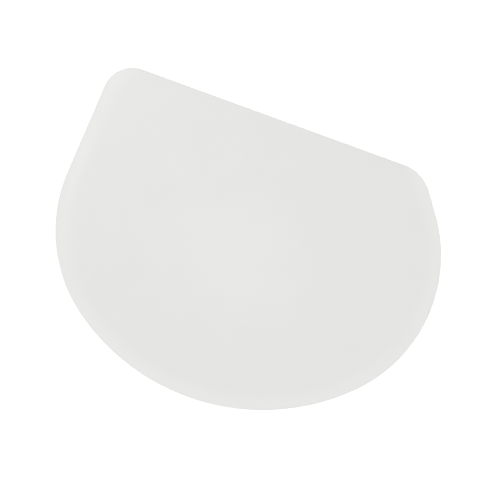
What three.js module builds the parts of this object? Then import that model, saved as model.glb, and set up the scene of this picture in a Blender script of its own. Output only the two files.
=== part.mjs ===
// Half-round dough and bowl scraper: one injection-moulded sheet of white polypropylene.
// Millimetres, +Z up. The scraper lies on its flat underside, with the origin at the middle
// of that face's bounding box, the straight edge towards +Y and the round edge towards -Y.
// Seen from above, the steep flank and its tight corner are on the left, at -X.
import * as THREE from "three";

// Overall size of the sheet, seen from above
const WIDTH = 120;
const DEPTH = 90;

// The round edge is three arcs that run into each other: a flatter one along the bottom, spanning
// these angles to the left and to the right of straight down, and one up each side
const SIDE_RADIUS = 45.7;
const BOTTOM_SPAN_LEFT = THREE.MathUtils.degToRad(35);
const BOTTOM_SPAN_RIGHT = THREE.MathUtils.degToRad(44.5);

// Each flank leaves its side arc tangentially and leans in towards its corner
const LEFT_FLANK_LEAN = THREE.MathUtils.degToRad(3.3);
const RIGHT_FLANK_LEAN = THREE.MathUtils.degToRad(35.8);
const LEFT_CORNER_RADIUS = 9.2;
const RIGHT_CORNER_RADIUS = 12.3;

// Section of the sheet: full thickness at the straight edge, and on the flanks and the round edge
// a taper in the top face, which bends slowly out of that face and slopes down to a thin lip. The
// widths of that bend and of that slope are measured along the underside.
const THICKNESS = 1.6;
const LIP_THICKNESS = 0.7;
const TAPER_BEND = 4.5;
const TAPER_SLOPE = 1;
const RIM_RADIUS = 0.25;

// How finely each arc of the outline, and each curve of the edge's section, is divided
const CORNER_STEPS = 14;
const SIDE_STEPS = 30;
const BOTTOM_STEPS = 40;
const RIM_STEPS = 3;
const BEND_STEPS = 5;

// A stretch shorter than this is left out of the outline
const SHORTEST_STRETCH = 0.01;

const QUARTER_TURN = Math.PI / 2;
const straightEdgeY = DEPTH / 2;

// An arc of the outline between two directions that it faces, anticlockwise
function arcBetween(centre, radius, fromFacing, toFacing) {
  return new THREE.EllipseCurve(centre.x, centre.y, radius, radius, fromFacing, toFacing);
}

// The flank's lean, kept to what its corner arc leaves room for: at most, that arc touches both the
// straight edge and the side arc, and no flank is left between
function flankLean(lean, sideCentre, cornerRadius) {
  const room = straightEdgeY - cornerRadius - sideCentre.y;
  return Math.min(lean, Math.asin(Math.min(room / (SIDE_RADIUS - cornerRadius), 1)));
}

// Centre of the corner arc that touches both the straight edge and the flank through flankPoint
function cornerCentre(flankPoint, facing, radius) {
  const y = straightEdgeY - radius;
  const rise = (y - flankPoint.y) * Math.sin(facing);
  return new THREE.Vector2(flankPoint.x - (radius + rise) / Math.cos(facing), y);
}

// The outline as stretches, anticlockwise from the right end of the straight edge. taper(t) is the
// share of the full lip taper along a stretch: it runs out round the corners. The bottom arc has the
// radius and the centre that bring the side arcs to the full width.
function outlineStretches() {
  const bottomLeft = -QUARTER_TURN - BOTTOM_SPAN_LEFT;
  const bottomRight = -QUARTER_TURN + BOTTOM_SPAN_RIGHT;
  const extraRadius = (WIDTH - 2 * SIDE_RADIUS) / (Math.cos(bottomRight) - Math.cos(bottomLeft));
  const bottomRadius = SIDE_RADIUS + extraRadius;
  const rightCentreX = WIDTH / 2 - SIDE_RADIUS;
  const bottomCentre = new THREE.Vector2(
    rightCentreX - extraRadius * Math.cos(bottomRight),
    bottomRadius - DEPTH / 2,
  );
  const [leftCentre, rightCentre] = [bottomLeft, bottomRight].map((facing) =>
    new THREE.Vector2(extraRadius, 0).rotateAround(new THREE.Vector2(), facing).add(bottomCentre),
  );
  const leftFacing = Math.PI - flankLean(LEFT_FLANK_LEAN, leftCentre, LEFT_CORNER_RADIUS);
  const rightFacing = flankLean(RIGHT_FLANK_LEAN, rightCentre, RIGHT_CORNER_RADIUS);
  const leftSide = arcBetween(leftCentre, SIDE_RADIUS, leftFacing, bottomLeft);
  const bottom = arcBetween(bottomCentre, bottomRadius, bottomLeft, bottomRight);
  const rightSide = arcBetween(rightCentre, SIDE_RADIUS, bottomRight, rightFacing);
  const flankStart = leftSide.getPoint(0);
  const flankEnd = rightSide.getPoint(1);
  const leftCornerCentre = cornerCentre(flankStart, leftFacing, LEFT_CORNER_RADIUS);
  const rightCornerCentre = cornerCentre(flankEnd, rightFacing, RIGHT_CORNER_RADIUS);
  const leftCorner = arcBetween(leftCornerCentre, LEFT_CORNER_RADIUS, QUARTER_TURN, leftFacing);
  const rightCorner = arcBetween(rightCornerCentre, RIGHT_CORNER_RADIUS, rightFacing, QUARTER_TURN);
  const straightEdge = new THREE.LineCurve(rightCorner.getPoint(1), leftCorner.getPoint(0));
  const leftFlank = new THREE.LineCurve(leftCorner.getPoint(1), flankStart);
  const rightFlank = new THREE.LineCurve(flankEnd, rightCorner.getPoint(0));
  const full = () => 1;
  const runsIn = (t) => THREE.MathUtils.smoothstep(t, 0, 1);
  const runsOut = (t) => 1 - runsIn(t);
  return [
    { curve: straightEdge, taper: () => 0 },
    { curve: leftCorner, steps: CORNER_STEPS, taper: runsIn },
    { curve: leftFlank, taper: full },
    { curve: leftSide, steps: SIDE_STEPS, taper: full },
    { curve: bottom, steps: BOTTOM_STEPS, taper: full },
    { curve: rightSide, steps: SIDE_STEPS, taper: full },
    { curve: rightFlank, taper: full },
    { curve: rightCorner, steps: CORNER_STEPS, taper: runsOut },
  ].filter(({ curve }) => curve.getLength() > SHORTEST_STRETCH);
}

// Stations round the outline, each with its point, its outward direction and its share of the taper.
// A straight stretch is a single step.
function outlineStations() {
  return outlineStretches().flatMap(({ curve, steps = 1, taper }) =>
    Array.from({ length: steps }, (_, i) => {
      const t = i / steps;
      const along = curve.getTangent(t);
      return {
        point: curve.getPoint(t),
        outward: new THREE.Vector2(along.y, -along.x),
        taper: taper(t),
      };
    }),
  );
}

// The edge's section where it has the given share of the taper: x is the inset from the outline and
// y the height. It goes from the underside round the lower rim, up the wall and round the upper rim,
// then up the taper's slope and through its bend to the top face.
function edgeSection(taper) {
  const drop = taper * (THICKNESS - LIP_THICKNESS);
  const slope = drop / (TAPER_SLOPE + TAPER_BEND / 2);
  const slopeAngle = Math.atan(slope);
  const wallTop = THICKNESS - drop;
  const upperRimHeight = wallTop - RIM_RADIUS * Math.tan((QUARTER_TURN - slopeAngle) / 2);
  const rim = (height, from, to) =>
    new THREE.EllipseCurve(RIM_RADIUS, height, RIM_RADIUS, RIM_RADIUS, from, to, true);
  const bend = new THREE.QuadraticBezierCurve(
    new THREE.Vector2(TAPER_SLOPE, wallTop + slope * TAPER_SLOPE),
    new THREE.Vector2(TAPER_SLOPE + TAPER_BEND / 2, THICKNESS),
    new THREE.Vector2(TAPER_SLOPE + TAPER_BEND, THICKNESS),
  );
  return [
    ...rim(RIM_RADIUS, -QUARTER_TURN, -Math.PI).getPoints(RIM_STEPS),
    ...rim(upperRimHeight, Math.PI, QUARTER_TURN + slopeAngle).getPoints(RIM_STEPS),
    ...bend.getPoints(BEND_STEPS),
  ];
}

// A closed solid through equal rings of points, with a flat cap on the first and the last
function loft(rings) {
  const count = rings[0].length;
  const triangles = [];
  for (let ring = 0; ring + 1 < rings.length; ring++) {
    for (let i = 0; i < count; i++) {
      const next = (i + 1) % count;
      const [a, b] = [ring * count + i, ring * count + next];
      const [c, d] = [a + count, b + count];
      triangles.push(a, b, d, a, d, c);
    }
  }
  const cap = (ring, flip) => {
    const flat = ring.map(({ x, y }) => new THREE.Vector2(x, y));
    return THREE.ShapeUtils.triangulateShape(flat, []).flatMap((t) => (flip ? t.reverse() : t));
  };
  const lastRing = rings.length - 1;
  triangles.push(...cap(rings[0], true));
  triangles.push(...cap(rings[lastRing], false).map((i) => i + lastRing * count));
  const geometry = new THREE.BufferGeometry().setFromPoints(rings.flat());
  geometry.setIndex(triangles);
  geometry.computeVertexNormals();
  return geometry;
}

// The blade: the edge section carried round the outline, closed by the underside and the top face
function scraperBlade() {
  const columns = outlineStations().map(({ point, outward, taper }) =>
    edgeSection(taper).map(({ x: inset, y: height }) => {
      const { x, y } = point.clone().addScaledVector(outward, -inset);
      return new THREE.Vector3(x, y, height);
    }),
  );
  const rings = columns[0].map((_, level) => columns.map((column) => column[level]));
  const polypropylene = new THREE.MeshStandardMaterial({
    color: 0xe5e5e3,
    roughness: 0.45,
    metalness: 0,
  });
  const mesh = new THREE.Mesh(loft(rings), polypropylene);
  mesh.name = "scraper_blade";
  return mesh;
}

const scraper = new THREE.Group();
scraper.name = "half_round_scraper";
scraper.add(scraperBlade());

export default scraper;
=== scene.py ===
"""Half-round scraper: one moulded sheet of white polypropylene, lying on a pale studio floor."""

import math

import bmesh
import bpy
from bpy.props import FloatProperty, FloatVectorProperty, PointerProperty
from mathutils import Matrix, Vector


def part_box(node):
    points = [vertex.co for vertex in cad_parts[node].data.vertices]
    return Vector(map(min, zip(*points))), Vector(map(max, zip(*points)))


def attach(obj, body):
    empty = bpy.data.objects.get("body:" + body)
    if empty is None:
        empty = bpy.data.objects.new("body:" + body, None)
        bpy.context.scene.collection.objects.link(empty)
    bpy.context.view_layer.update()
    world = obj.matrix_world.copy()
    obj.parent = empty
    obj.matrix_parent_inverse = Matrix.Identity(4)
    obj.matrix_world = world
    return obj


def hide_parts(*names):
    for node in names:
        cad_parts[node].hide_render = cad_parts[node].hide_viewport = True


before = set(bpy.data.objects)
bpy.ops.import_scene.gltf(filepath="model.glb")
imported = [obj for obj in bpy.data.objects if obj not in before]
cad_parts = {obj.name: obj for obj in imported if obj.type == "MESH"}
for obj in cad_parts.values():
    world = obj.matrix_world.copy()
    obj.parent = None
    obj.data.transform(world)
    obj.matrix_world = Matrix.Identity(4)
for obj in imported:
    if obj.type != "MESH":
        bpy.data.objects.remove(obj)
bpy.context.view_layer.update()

bl_info = {
    "name": "Half-Round Scraper",
    "version": (1, 0, 0),
    "blender": (4, 5, 0),
    "location": "3D View > Sidebar > Scraper",
    "description": "Moulds a half-round kitchen scraper and sets it on a studio floor",
    "category": "Object",
}

# The frame: the CAD box, and the node that the moulded blade stands for
BLADE_NODE = "scraper_blade"
BLADE_LOW, BLADE_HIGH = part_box(BLADE_NODE)
BLADE_SIZE = BLADE_HIGH - BLADE_LOW

MM = 0.001
UP = Vector((0, 0, 1))
QUARTER_TURN = math.pi / 2

# How finely each stretch of the outline is divided. The corners have even counts, because the
# grid over each face turns at their middles.
STRAIGHT_STEPS = 60
LEFT_CORNER_STEPS = 16
LEFT_FLANK_STEPS = 20
LEFT_SIDE_STEPS = 32
BOTTOM_STEPS = 64
RIGHT_SIDE_STEPS = 44
RIGHT_FLANK_STEPS = 6
RIGHT_CORNER_STEPS = 14
STATIONS = (STRAIGHT_STEPS + LEFT_CORNER_STEPS + LEFT_FLANK_STEPS + LEFT_SIDE_STEPS
            + BOTTOM_STEPS + RIGHT_SIDE_STEPS + RIGHT_FLANK_STEPS + RIGHT_CORNER_STEPS)
TAPER_RINGS = 8
RIM_SEGMENTS = 4

# Ends of two stretches that lie within this distance are one point
WELD_DISTANCE = 0.001 * MM

# Size of the photograph's frame, in pixels
FRAME_PIXELS = 500

# The stage: half the floor's width in metres, its drop below the sheet, and how far up from the
# horizon the tent's foot ends and its top begins
FLOOR_REACH = 12
FLOOR_DROP = 0.02 * MM
FOOT_RISE = math.radians(4.5)
TOP_RISE = math.radians(10)
WHITE = (1, 1, 1, 1)


def linear(hex_colour):
    """An sRGB hex colour as the linear RGB that shaders take."""
    channels = [int(hex_colour[i:i + 2], 16) / 255 for i in (1, 3, 5)]
    return [c / 12.92 if c <= 0.04045 else ((c + 0.055) / 1.055) ** 2.4 for c in channels]


class BladeSettings(bpy.types.PropertyGroup):
    """Sizes and colours of the moulded blade"""

    width: FloatProperty(
        name="Width", description="Overall width, along the straight edge",
        default=BLADE_SIZE.x, min=0, unit="LENGTH", precision=5)
    depth: FloatProperty(
        name="Depth", description="Overall depth, from the straight edge to the round one",
        default=BLADE_SIZE.y, min=0, unit="LENGTH", precision=5)
    thickness: FloatProperty(
        name="Thickness", description="Thickness of the sheet at its straight edge",
        default=BLADE_SIZE.z, min=0, unit="LENGTH", precision=5)
    side_radius: FloatProperty(
        name="Side Radius", description="Radius of the round edge's arc up each side",
        default=45.7 * MM, min=0, unit="LENGTH", precision=5)
    bottom_left: FloatProperty(
        name="Bottom Span Left",
        description="How far the bottom arc goes to the left of straight down",
        default=math.radians(35), subtype="ANGLE")
    bottom_right: FloatProperty(
        name="Bottom Span Right",
        description="How far the bottom arc goes to the right of straight down",
        default=math.radians(44.5), subtype="ANGLE")
    left_lean: FloatProperty(
        name="Left Flank Lean", description="How far the left flank leans in to its corner",
        default=math.radians(3.3), subtype="ANGLE")
    right_lean: FloatProperty(
        name="Right Flank Lean", description="How far the right flank leans in to its corner",
        default=math.radians(35.8), subtype="ANGLE")
    left_radius: FloatProperty(
        name="Left Corner Radius", description="Radius of the tight corner",
        default=9.2 * MM, min=0, unit="LENGTH", precision=5)
    right_radius: FloatProperty(
        name="Right Corner Radius", description="Radius of the open corner",
        default=12.3 * MM, min=0, unit="LENGTH", precision=5)
    lip: FloatProperty(
        name="Lip Thickness", description="Thickness left at the flanks and the round edge",
        default=0.7 * MM, min=0, unit="LENGTH", precision=5)
    bend: FloatProperty(
        name="Taper Bend",
        description="Width of the bend out of the top face, where the taper begins",
        default=4.5 * MM, min=0, unit="LENGTH", precision=5)
    slope: FloatProperty(
        name="Taper Slope",
        description="Width of the straight slope from that bend to the lip's rim",
        default=1 * MM, min=0, unit="LENGTH", precision=5)
    rim: FloatProperty(
        name="Rim Rounding", description="Rounding of the upper and lower rim",
        default=0.25 * MM, min=0, unit="LENGTH", precision=5)
    body_colour: FloatVectorProperty(
        name="Body Colour", description="Plastic at full thickness",
        default=linear("#E3E3E1"), min=0, max=1, subtype="COLOR")
    # Painted light: the lip colour lightens the thin lip as if light came up through it from the
    # floor.
    lip_colour_with_painted_glow: FloatVectorProperty(
        name="Lip Colour", description="Plastic at the thin lip, where more light comes through",
        default=linear("#E9E9E7"), min=0, max=1, subtype="COLOR")


class StageSettings(bpy.types.PropertyGroup):
    """Floor, light and camera of the studio"""

    floor_colour: FloatVectorProperty(
        name="Floor Colour", description="Pale backdrop that the scraper lies on",
        default=linear("#F4F4F4"), min=0, max=1, subtype="COLOR")
    floor_glow: FloatProperty(
        name="Floor Glow", description="Light that comes up through the backdrop",
        default=0.2, min=0)
    tent_foot: FloatProperty(
        name="Tent Foot", description="Brightness of the white tent down at the floor",
        default=1, min=0)
    tent_top: FloatProperty(
        name="Tent Top", description="Brightness of the tent above its foot",
        default=0.5, min=0)
    overhead_strength: FloatProperty(
        name="Overhead Light", description="Strength of the broad even light overhead",
        default=1.25, min=0)
    overhead_spread: FloatProperty(
        name="Overhead Spread", description="Angle that the overhead light fills",
        default=math.radians(85), subtype="ANGLE")
    side_power: FloatProperty(
        name="Side Softbox", description="Power of the softbox at the picture's upper left",
        default=0.88, min=0, unit="POWER")
    side_size: FloatProperty(
        name="Side Softbox Size", description="Diameter of the side softbox",
        default=0.75, min=0, unit="LENGTH")
    side_place: FloatVectorProperty(
        name="Side Softbox Place", description="Its place to the picture's right, top and front",
        default=(-0.33, 0.34, 1), subtype="TRANSLATION", unit="LENGTH")
    sheen_power: FloatProperty(
        name="Sheen Lamp", description="Power of the small lamp beside the lens",
        default=0.043, min=0, unit="POWER")
    sheen_size: FloatProperty(
        name="Sheen Lamp Size", description="Diameter of the lamp beside the lens",
        default=0.06, min=0, unit="LENGTH")
    sheen_place: FloatVectorProperty(
        name="Sheen Lamp Place", description="Its place to the picture's right, top and front",
        default=(-0.014, 0, 0.9), subtype="TRANSLATION", unit="LENGTH")
    roll: FloatProperty(
        name="Camera Roll", description="Turn of the camera about its own axis",
        default=math.radians(20), subtype="ANGLE")
    lens: FloatProperty(
        name="Focal Length", description="Focal length of the lens, in millimetres",
        default=100, min=1, unit="CAMERA")
    pixels_per_mm: FloatProperty(
        name="Pixels per Millimetre", description="Scale of the picture at the scraper",
        default=3.24, min=0.1)
    picture_middle: FloatVectorProperty(
        name="Picture Middle", description="Point on the sheet at the middle of the picture",
        default=(1.23 * MM, 4.17 * MM), size=2, unit="LENGTH", precision=5)


def add_node(tree, kind, settings=(), inputs=()):
    """A node with its settings made and each input set to a value or joined to a socket."""
    node = tree.nodes.new(kind)
    for name, value in dict(settings).items():
        setattr(node, name, value)
    for name, value in dict(inputs).items():
        if isinstance(value, bpy.types.NodeSocket):
            tree.links.new(value, node.inputs[name])
        else:
            node.inputs[name].default_value = value
    return node


def new_material(name):
    """An empty node material."""
    material = bpy.data.materials.new(name)
    material.use_nodes = True
    material.node_tree.nodes.clear()
    return material


def new_object(name, data):
    """An object at the origin that holds the data, linked into the scene."""
    made = bpy.data.objects.new(name, data)
    bpy.context.scene.collection.objects.link(made)
    return made


def direction(angle):
    """The direction at an angle from +X, in the plane of the sheet."""
    return Vector((math.cos(angle), math.sin(angle), 0))


def smooth(share):
    """A share from 0 to 1 eased at both ends."""
    return share * share * (3 - 2 * share)


def sweep(bm, start, steps, **motion):
    """A vertex swept in equal steps, as the vertices of its path in order."""
    bmesh.ops.spin(bm, geom=[bm.verts.new(start)], axis=UP, steps=steps, **motion)
    return list(bm.verts)[-steps - 1:]


def trace_line(bm, start, end, steps):
    """A straight stretch of the outline."""
    return sweep(bm, start, steps, dvec=(end - start) / steps)


def trace_arc(bm, centre, radius, first, last, steps):
    """An arc of the outline, anticlockwise between two directions that it faces."""
    start = centre + radius * direction(first)
    return sweep(bm, start, steps, cent=centre, angle=(last - first) % math.tau)


def corner_centre(flank_point, facing, radius):
    """Centre of the corner arc that touches the straight edge and the flank through flank_point."""
    flank = direction(facing)
    y = BLADE_HIGH.y - radius
    return Vector((flank_point.x - (radius + (y - flank_point.y) * flank.y) / flank.x, y, 0))


def trace_stretches(bm, size):
    """The outline's stretches, anticlockwise from the foot of the right corner, each with its
    share of the lip's taper at its start and at its end. The bottom arc's radius is the side arcs'
    and the extra that brings those to the full width."""
    left = math.pi - size.left_lean
    right = size.right_lean
    bottom_left = -QUARTER_TURN - size.bottom_left
    bottom_right = -QUARTER_TURN + size.bottom_right
    side = size.side_radius
    extra = (size.width - 2 * side) / (math.cos(bottom_right) - math.cos(bottom_left))
    middle = Vector((size.width / 2 - side - extra * math.cos(bottom_right),
                     BLADE_HIGH.y - size.depth + side + extra, 0))
    left_middle = middle + extra * direction(bottom_left)
    right_middle = middle + extra * direction(bottom_right)
    left_side = trace_arc(bm, left_middle, side, left, bottom_left, LEFT_SIDE_STEPS)
    bottom = trace_arc(bm, middle, side + extra, bottom_left, bottom_right, BOTTOM_STEPS)
    right_side = trace_arc(bm, right_middle, side, bottom_right, right, RIGHT_SIDE_STEPS)
    left_corner = trace_arc(bm, corner_centre(left_side[0].co, left, size.left_radius),
                            size.left_radius, QUARTER_TURN, left, LEFT_CORNER_STEPS)
    right_corner = trace_arc(bm, corner_centre(right_side[-1].co, right, size.right_radius),
                             size.right_radius, right, QUARTER_TURN, RIGHT_CORNER_STEPS)
    straight_edge = trace_line(bm, right_corner[-1].co, left_corner[0].co, STRAIGHT_STEPS)
    left_flank = trace_line(bm, left_corner[-1].co, left_side[0].co, LEFT_FLANK_STEPS)
    right_flank = trace_line(bm, right_side[-1].co, right_corner[0].co, RIGHT_FLANK_STEPS)
    return (
        (right_corner, 1, 0),
        (straight_edge, 0, 0),
        (left_corner, 0, 1),
        (left_flank, 1, 1),
        (left_side, 1, 1),
        (bottom, 1, 1),
        (right_side, 1, 1),
        (right_flank, 1, 1),
    )


def trace_outline(bm, size):
    """The outline as one flat face. Its vertices carry two layers: their station round it, and
    their share of the lip's taper, which runs out round both corners."""
    station = bm.verts.layers.int.new("station")
    thinness = bm.verts.layers.float.new("thinness")
    number = 0
    for stretch, lip_at_start, lip_at_end in trace_stretches(bm, size):
        steps = len(stretch) - 1
        for step, vertex in enumerate(stretch):
            vertex[station] = (number + step) % STATIONS
            vertex[thinness] = lip_at_start + (lip_at_end - lip_at_start) * smooth(step / steps)
        number += steps
    bmesh.ops.remove_doubles(bm, verts=bm.verts, dist=WELD_DISTANCE)
    return bmesh.ops.contextual_create(bm, geom=bm.edges[:])["faces"][0]


def in_order(bm, face):
    """The face's vertices in the order of the outline's stations."""
    station = bm.verts.layers.int["station"]
    return sorted(face.verts, key=lambda vertex: vertex[station])


def ring_edges(bm, ring, first, count):
    """Edges of a ring of vertices, from one place in it onwards."""
    places = [(first + step) % len(ring) for step in range(count + 1)]
    return [bm.edges.get((ring[a], ring[b])) for a, b in zip(places, places[1:])]


def thin_lip(bm, size, face, fall):
    """Insets rings from the outline to the inside of the taper, lowers them by their share of the
    fall and returns the edges of the rim. Outwards, the fall is a parabola through the bend and
    then a straight slope. Each vertex is left with its own thinness."""
    thinness = bm.verts.layers.float["thinness"]
    taper = size.slope + size.bend
    steepness = 1 / (size.slope + size.bend / 2)
    rim = []
    for number in range(TAPER_RINGS):
        band = bmesh.ops.inset_region(bm, faces=[face], thickness=taper / TAPER_RINGS,
                                      use_even_offset=True)["faces"]
        ring = {vertex for quad in band for vertex in quad.verts}.difference(face.verts)
        rim = rim or [edge for quad in band for edge in quad.edges if ring.issuperset(edge.verts)]
        outwards = taper * (1 - number / TAPER_RINGS)
        in_bend = min(outwards, size.bend)
        drop = steepness * (in_bend ** 2 / (2 * size.bend) + outwards - in_bend)
        for vertex in ring:
            vertex[thinness] *= drop
            vertex.co.z -= vertex[thinness] * fall
    for vertex in face.verts:
        vertex[thinness] = 0
    return rim


def grid_over(bm, face):
    """The flat inside of a face as an even grid of quads between its straight and round sides."""
    loop = in_order(bm, face)
    first = RIGHT_CORNER_STEPS // 2
    across = first + STRAIGHT_STEPS + LEFT_CORNER_STEPS // 2
    rails = ring_edges(bm, loop, first, across) + ring_edges(bm, loop, first + STATIONS // 2, across)
    bmesh.ops.delete(bm, geom=[face], context="FACES_ONLY")
    bmesh.ops.grid_fill(bm, edges=rails, use_interp_simple=True)


def mould_blade(size):
    """The blade: its outline raised to a sheet, thinned to the lip, with rounded rims."""
    bm = bmesh.new()
    underside = trace_outline(bm, size)
    raised = bmesh.ops.extrude_face_region(bm, geom=[underside])["geom"]
    top = next(part for part in raised if isinstance(part, bmesh.types.BMFace))
    bmesh.ops.translate(bm, vec=UP * size.thickness, verts=top.verts)
    rims = thin_lip(bm, size, underside, 0) + thin_lip(bm, size, top, size.thickness - size.lip)
    grid_over(bm, underside)
    grid_over(bm, top)
    bmesh.ops.bevel(bm, geom=rims, offset=size.rim, segments=RIM_SEGMENTS, profile=0.5,
                    affect="EDGES", material=-1)
    bm.verts.layers.int.remove(bm.verts.layers.int["station"])
    if not all(edge.is_manifold for edge in bm.edges):
        raise RuntimeError("The blade isn't closed, because its sizes leave no room for each other")
    bmesh.ops.recalc_face_normals(bm, faces=bm.faces)
    for face in bm.faces:
        face.smooth = True
    mesh = bpy.data.meshes.new("half_round_blade")
    bm.to_mesh(mesh)
    bm.free()
    blade = new_object("half_round_blade", mesh)
    weighted = blade.modifiers.new("flat_faces_stay_flat", "WEIGHTED_NORMAL")
    weighted.mode = "FACE_AREA"
    weighted.weight = 100
    return blade


def moulded_polypropylene(settings):
    """White polypropylene, injection-moulded in a finely spark-eroded tool.

    To the eye it is a soft satin: an almost even off-white with faint clouds from the melt's flow,
    a broad weak sheen, and a lighter lip, where light passing through the thin sheet is painted into
    the colour."""
    grain_size = 0.6 * MM  # real grain is about 0.1 mm; drawn coarser so that it shows at all
    grain_height = 0.03 * MM
    grain_strength = 0.5
    least_roughness, most_roughness = 0.18, 0.22
    cloud_size = 12 * MM
    cloud_share = 0.5  # of the way from the body's colour to the lip's
    glow_exponent = 0.5  # under 1, because the painted glow lightens the lip faster than it thins
    material = new_material("moulded_white_polypropylene")
    tree = material.node_tree
    place = add_node(tree, "ShaderNodeTexCoord").outputs["Object"]
    grain = add_node(tree, "ShaderNodeTexNoise", inputs={
        "Vector": place, "Scale": 1 / grain_size, "Detail": 2}).outputs["Fac"]
    cloud = add_node(tree, "ShaderNodeTexNoise", inputs={
        "Vector": place, "Scale": 1 / cloud_size, "Detail": 3}).outputs["Fac"]
    thinness = add_node(tree, "ShaderNodeAttribute", {"attribute_name": "thinness"}).outputs["Fac"]
    # Painted glow: the base colour lightens towards the rim with the thinness, in place of light
    # passing through the thin lip.
    glow = add_node(tree, "ShaderNodeMath", {"operation": "POWER"}, {
        0: thinness, 1: glow_exponent}).outputs["Value"]
    clouds_and_painted_glow = add_node(tree, "ShaderNodeMath", {"operation": "MULTIPLY_ADD"}, {
        0: cloud, 1: cloud_share, 2: glow}).outputs["Value"]
    colour = add_node(tree, "ShaderNodeValToRGB", inputs={"Fac": clouds_and_painted_glow})
    body, lip = colour.color_ramp.elements
    body.color = (*settings.body_colour, 1)
    lip.color = (*settings.lip_colour_with_painted_glow, 1)
    satin = add_node(tree, "ShaderNodeMapRange", inputs={
        "Value": grain, "To Min": least_roughness, "To Max": most_roughness}).outputs["Result"]
    bump = add_node(tree, "ShaderNodeBump", inputs={
        "Strength": grain_strength, "Distance": grain_height, "Height": grain}).outputs["Normal"]
    plastic = add_node(tree, "ShaderNodeBsdfPrincipled", inputs={
        "Base Color": colour.outputs["Color"], "Roughness": satin, "IOR": 1.49, "Normal": bump})
    add_node(tree, "ShaderNodeOutputMaterial", inputs={"Surface": plastic.outputs["BSDF"]})
    return material


class SCRAPER_OT_mould_blade(bpy.types.Operator):
    """Mould the scraper's blade in white polypropylene"""

    bl_idname = "scraper.mould_blade"
    bl_label = "Mould Blade"

    def execute(self, context):
        settings = context.scene.scraper_blade
        blade = mould_blade(settings)
        blade.data.materials.append(moulded_polypropylene(settings))
        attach(blade, "root")
        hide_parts(BLADE_NODE)
        return {"FINISHED"}


def backdrop_paper(stage):
    """Matt white backdrop, lit from below as well, so that it reads as plain pale ground."""
    material = new_material("matt_white_backdrop")
    tree = material.node_tree
    paper = add_node(tree, "ShaderNodeBsdfPrincipled", inputs={
        "Base Color": (*stage.floor_colour, 1), "Roughness": 0.9,
        "Emission Color": WHITE, "Emission Strength": stage.floor_glow})
    add_node(tree, "ShaderNodeOutputMaterial", inputs={"Surface": paper.outputs["BSDF"]})
    return material


def lay_floor(stage):
    """The pale floor, a hair below the sheet."""
    bm = bmesh.new()
    bmesh.ops.create_grid(bm, x_segments=1, y_segments=1, size=FLOOR_REACH)
    bmesh.ops.translate(bm, vec=-UP * FLOOR_DROP, verts=bm.verts)
    mesh = bpy.data.meshes.new("studio_floor")
    bm.to_mesh(mesh)
    bm.free()
    mesh.materials.append(backdrop_paper(stage))
    new_object("studio_floor", mesh)


def hang_lamp(name, kind, place, energy, **form):
    """A lamp that faces the middle of the scraper."""
    lamp = bpy.data.lights.new(name, kind)
    lamp.energy = energy
    for setting, value in form.items():
        setattr(lamp, setting, value)
    hung = new_object(name, lamp)
    hung.location = place
    hung.rotation_mode = "QUATERNION"
    hung.rotation_quaternion = (-place).to_track_quat("-Z", "Y")


def pitch_tent(stage):
    """An even white tent round the stage, brighter at its foot."""
    world = bpy.data.worlds.new("white_tent")
    world.use_nodes = True
    tree = world.node_tree
    tree.nodes.clear()
    facing = add_node(tree, "ShaderNodeTexCoord").outputs["Generated"]
    rise = add_node(tree, "ShaderNodeSeparateXYZ", inputs={"Vector": facing}).outputs["Z"]
    brightness = add_node(tree, "ShaderNodeMapRange", inputs={
        "Value": rise, "From Min": math.sin(FOOT_RISE), "From Max": math.sin(TOP_RISE),
        "To Min": stage.tent_foot, "To Max": stage.tent_top}).outputs["Result"]
    tent = add_node(tree, "ShaderNodeBackground", inputs={
        "Color": WHITE, "Strength": brightness}).outputs["Background"]
    add_node(tree, "ShaderNodeOutputWorld", inputs={"Surface": tent})
    bpy.context.scene.world = world


def hang_lamps(stage):
    """Broad light overhead, a softbox at the picture's upper left and a lamp beside the lens."""
    turned = Matrix.Rotation(stage.roll, 3, "Z")
    hang_lamp("overhead_light", "SUN", UP, stage.overhead_strength, angle=stage.overhead_spread)
    hang_lamp("side_softbox", "AREA", turned @ Vector(stage.side_place), stage.side_power,
              shape="DISK", size=stage.side_size)
    hang_lamp("sheen_lamp", "AREA", turned @ Vector(stage.sheen_place), stage.sheen_power,
              shape="DISK", size=stage.sheen_size)


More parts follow.
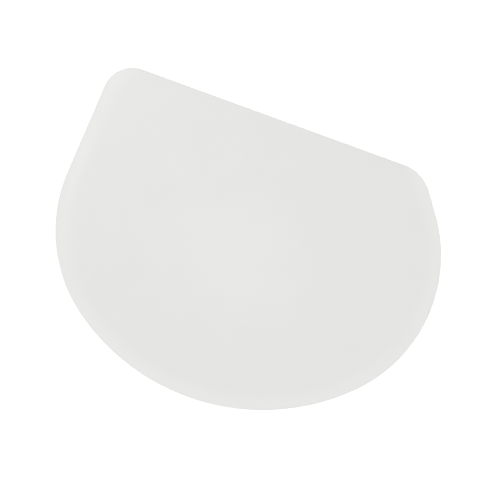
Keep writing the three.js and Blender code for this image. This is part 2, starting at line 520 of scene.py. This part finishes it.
def set_camera(stage):
    """A camera straight above, rolled so that the straight edge falls to the right."""
    lens = bpy.data.cameras.new("overhead_camera")
    lens.lens = stage.lens
    camera = new_object("overhead_camera", lens)
    sensor_pixel = lens.sensor_width / FRAME_PIXELS
    distance = lens.lens / sensor_pixel / stage.pixels_per_mm * MM
    camera.location = (*stage.picture_middle, distance + BLADE_HIGH.z / 2)
    camera.rotation_euler = (0, 0, stage.roll)
    bpy.context.scene.camera = camera


class SCRAPER_OT_set_stage(bpy.types.Operator):
    """Lay the floor, light it and set the camera above the scraper"""

    bl_idname = "scraper.set_stage"
    bl_label = "Set Stage"

    def execute(self, context):
        stage = context.scene.scraper_stage
        lay_floor(stage)
        pitch_tent(stage)
        hang_lamps(stage)
        set_camera(stage)
        context.scene.view_settings.view_transform = "Standard"
        return {"FINISHED"}


class SCRAPER_PT_sidebar(bpy.types.Panel):
    """Lists the scraper's pieces and its stage"""

    bl_label = "Half-Round Scraper"
    bl_space_type = "VIEW_3D"
    bl_region_type = "UI"
    bl_category = "Scraper"

    def draw(self, context):
        layout = self.layout
        for settings, operator in (
            (context.scene.scraper_blade, SCRAPER_OT_mould_blade),
            (context.scene.scraper_stage, SCRAPER_OT_set_stage),
        ):
            column = layout.column(align=True)
            for name in settings.__annotations__:
                column.prop(settings, name)
            layout.operator(operator.bl_idname)


CLASSES = (
    BladeSettings,
    StageSettings,
    SCRAPER_OT_mould_blade,
    SCRAPER_OT_set_stage,
    SCRAPER_PT_sidebar,
)


def register():
    """Registers the classes and gives the scene its settings."""
    for made in CLASSES:
        bpy.utils.register_class(made)
    bpy.types.Scene.scraper_blade = PointerProperty(type=BladeSettings)
    bpy.types.Scene.scraper_stage = PointerProperty(type=StageSettings)


def unregister():
    """Takes the settings and the classes out again."""
    del bpy.types.Scene.scraper_stage
    del bpy.types.Scene.scraper_blade
    for made in reversed(CLASSES):
        bpy.utils.unregister_class(made)


def main():
    """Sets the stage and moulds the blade."""
    register()
    bpy.ops.scraper.set_stage()
    bpy.ops.scraper.mould_blade()


if __name__ == "__main__":
    main()
